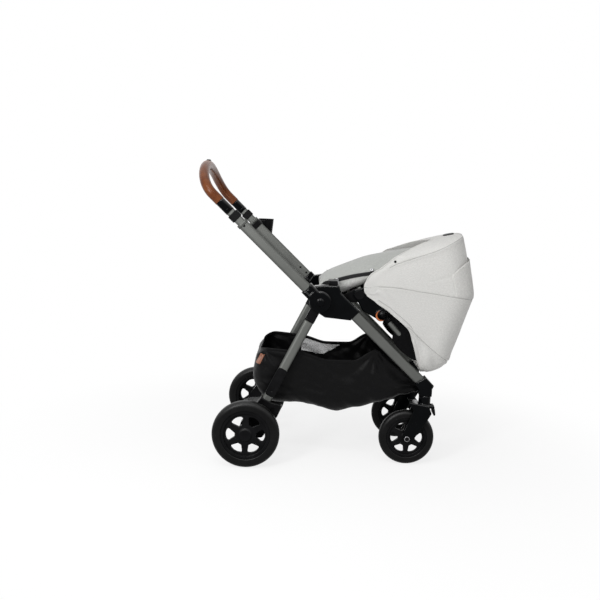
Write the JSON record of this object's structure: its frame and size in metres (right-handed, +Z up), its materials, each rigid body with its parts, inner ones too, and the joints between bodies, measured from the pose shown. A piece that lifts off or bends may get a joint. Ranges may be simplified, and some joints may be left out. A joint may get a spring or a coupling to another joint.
{
  "type": "baby stroller",
  "caption": "Folding baby stroller with telescopic leather handle, reclining parent-facing seat under a folding canopy, leg cover, open shopping basket, spoked wheels and swivelling casters.",
  "frame": {"origin": "bottom centre of the bounding box, on the floor between the wheels", "axes": "+X forwards towards the casters, +Y to the pushing person's left, +Z up"},
  "size_m": [1.048, 0.6314, 1.1281],
  "materials": {
    "tube": "anodised gunmetal, satin",
    "black_gloss": "gloss moulded",
    "black_plastic": "fine moulded grain",
    "tyre": "smooth foam-filled rubber",
    "rubber": "soft satin",
    "leather": "tan, stitched",
    "steel": "brushed",
    "canopy_fabric": "light melange woven",
    "seat_fabric": "pale grey woven",
    "basket_fabric": "black woven nylon",
    "accent": "orange moulded"
  },
  "bodies": {
    "front_frame": {"hub_housing_right": "black_gloss", "hub_housing_left": "black_gloss", "pivot_bolts": "black_gloss", "front_leg_right": "tube", "front_leg_left": "tube", "caster_housing_right": "black_gloss", "caster_housing_left": "black_gloss", "front_cross_tube": "tube", "basket": "basket_fabric"},
    "push_arms": {"arm_knuckle_right": "black_gloss", "arm_knuckle_left": "black_gloss", "arm_tube_right": "tube", "arm_tube_left": "tube", "arm_collars": "tube", "cup_holder": "black_plastic"},
    "handle": {"telescopic_tubes": "tube", "handle_bands": "rubber", "handle_sleeves": "black_gloss", "handle_core": "tube", "handle_grip": "leather"},
    "handle_button": {"handle_button": "black_gloss"},
    "rear_frame": {"rear_knuckle_right": "black_plastic", "rear_knuckle_left": "black_plastic", "rear_leg_right": "tube", "rear_leg_left": "tube", "rear_leg_pads": "black_plastic", "rear_bracket_right": "black_plastic", "rear_bracket_left": "black_plastic", "rear_axles": "steel", "rear_cross_tube": "tube"},
    "brake_pedal": {"brake_pedal": "black_plastic"},
    "rear_wheel_right": {"rear_tyre_right": "tyre", "rear_rim_right": "black_plastic"},
    "rear_wheel_left": {"rear_tyre_left": "tyre", "rear_rim_left": "black_plastic"},
    "caster_right": {"caster_fork_right": "black_gloss", "front_axle_right": "steel"},
    "caster_left": {"caster_fork_left": "black_gloss", "front_axle_left": "steel"},
    "front_wheel_right": {"front_tyre_right": "tyre", "front_rim_right": "black_plastic"},
    "front_wheel_left": {"front_tyre_left": "tyre", "front_rim_left": "black_plastic"},
    "swivel_lock_right": {"swivel_lock_right": "black_plastic"},
    "swivel_lock_left": {"swivel_lock_left": "black_plastic"},
    "seat": {"seat_plate_right": "black_plastic", "seat_plate_left": "black_plastic", "seat_cross_tubes": "tube", "seat_tub": "seat_fabric", "seat_apron": "seat_fabric"},
    "backrest": {"backrest_arms": "black_gloss", "backrest_tube": "tube", "backrest_panel": "seat_fabric", "release_rings": "accent", "canopy": "canopy_fabric"},
    "canopy_front_bow": {"canopy_front_bow": "black_plastic"},
    "canopy_mid_bow": {"canopy_mid_bow": "black_plastic"},
    "release_button_right": {"release_button_right": "black_gloss"},
    "release_button_left": {"release_button_left": "black_gloss"}
  },
  "joints": [
    {"name": "fold", "type": "hinge", "parent": "front_frame", "child": "push_arms", "pos_m": [-0.05249, -0.01631, 0.6225], "axis": [0, 1, 0], "range_deg": [0, 160]},
    {"name": "rear_fold", "type": "hinge", "parent": "front_frame", "child": "rear_frame", "pos_m": [-0.05249, -0.01631, 0.6225], "axis": [0, 1, 0], "range_deg": [-50, 0]},
    {"name": "telescope", "type": "slide", "parent": "push_arms", "child": "handle", "axis": [-0.7337, 0, 0.6794], "range_m": [-0.012, 0.085]},
    {"name": "fold_button", "type": "slide", "parent": "handle", "child": "handle_button", "axis": [0, 0, -1], "range_m": [0, 0.002], "stiffness_N_per_m": 600},
    {"name": "brake", "type": "hinge", "parent": "rear_frame", "child": "brake_pedal", "pos_m": [-0.26549, -0.01631, 0.165], "axis": [0, -1, 0], "range_deg": [0, 18]},
    {"name": "seat_lift", "type": "slide", "parent": "front_frame", "child": "seat", "axis": [0, 0, 1], "range_m": [0, 0.12]},
    {"name": "recline", "type": "hinge", "parent": "seat", "child": "backrest", "pos_m": [0.09251, -0.01631, 0.647], "axis": [0, -1, 0], "range_deg": [0, 60]},
    {"name": "canopy_fold", "type": "hinge", "parent": "backrest", "child": "canopy_front_bow", "pos_m": [0.13051, -0.01631, 0.676], "axis": [0, 1, 0], "range_deg": [0, 56], "deforming": ["canopy"]},
    {"name": "canopy_mid_fold", "type": "hinge", "parent": "backrest", "child": "canopy_mid_bow", "pos_m": [0.13051, -0.01631, 0.676], "axis": [0, 1, 0], "range_deg": [0, 28]},
    {"name": "rear_wheel_right_spin", "type": "hinge", "parent": "rear_frame", "child": "rear_wheel_right", "pos_m": [-0.30549, -0.29131, 0.125], "axis": [0, 1, 0], "continuous": true},
    {"name": "caster_right_swivel", "type": "hinge", "parent": "front_frame", "child": "caster_right", "pos_m": [0.36251, -0.17631, 0.271], "axis": [0, 0, 1], "continuous": true},
    {"name": "front_wheel_right_spin", "type": "hinge", "parent": "caster_right", "child": "front_wheel_right", "pos_m": [0.30051, -0.17631, 0.105], "axis": [0, 1, 0], "continuous": true},
    {"name": "swivel_lock_right_tip", "type": "hinge", "parent": "caster_right", "child": "swivel_lock_right", "pos_m": [0.39351, -0.17631, 0.229], "axis": [0, -1, 0], "range_deg": [0, 20]},
    {"name": "release_right_press", "type": "slide", "parent": "backrest", "child": "release_button_right", "axis": [0, 1, 0], "range_m": [0, 0.003], "stiffness_N_per_m": 600},
    {"name": "rear_wheel_left_spin", "type": "hinge", "parent": "rear_frame", "child": "rear_wheel_left", "pos_m": [-0.30549, 0.25869, 0.125], "axis": [0, 1, 0], "continuous": true},
    {"name": "caster_left_swivel", "type": "hinge", "parent": "front_frame", "child": "caster_left", "pos_m": [0.36251, 0.14369, 0.271], "axis": [0, 0, 1], "continuous": true},
    {"name": "front_wheel_left_spin", "type": "hinge", "parent": "caster_left", "child": "front_wheel_left", "pos_m": [0.30051, 0.14369, 0.105], "axis": [0, 1, 0], "continuous": true},
    {"name": "swivel_lock_left_tip", "type": "hinge", "parent": "caster_left", "child": "swivel_lock_left", "pos_m": [0.39351, 0.14369, 0.229], "axis": [0, -1, 0], "range_deg": [0, 20]},
    {"name": "release_left_press", "type": "slide", "parent": "backrest", "child": "release_button_left", "axis": [0, -1, 0], "range_m": [0, 0.003], "stiffness_N_per_m": 600}
  ],
  "couplings": [
    {"joint": "rear_fold", "follows": "fold", "ratio": -0.3125},
    {"joint": "canopy_mid_fold", "follows": "canopy_fold", "ratio": 0.5}
  ]
}
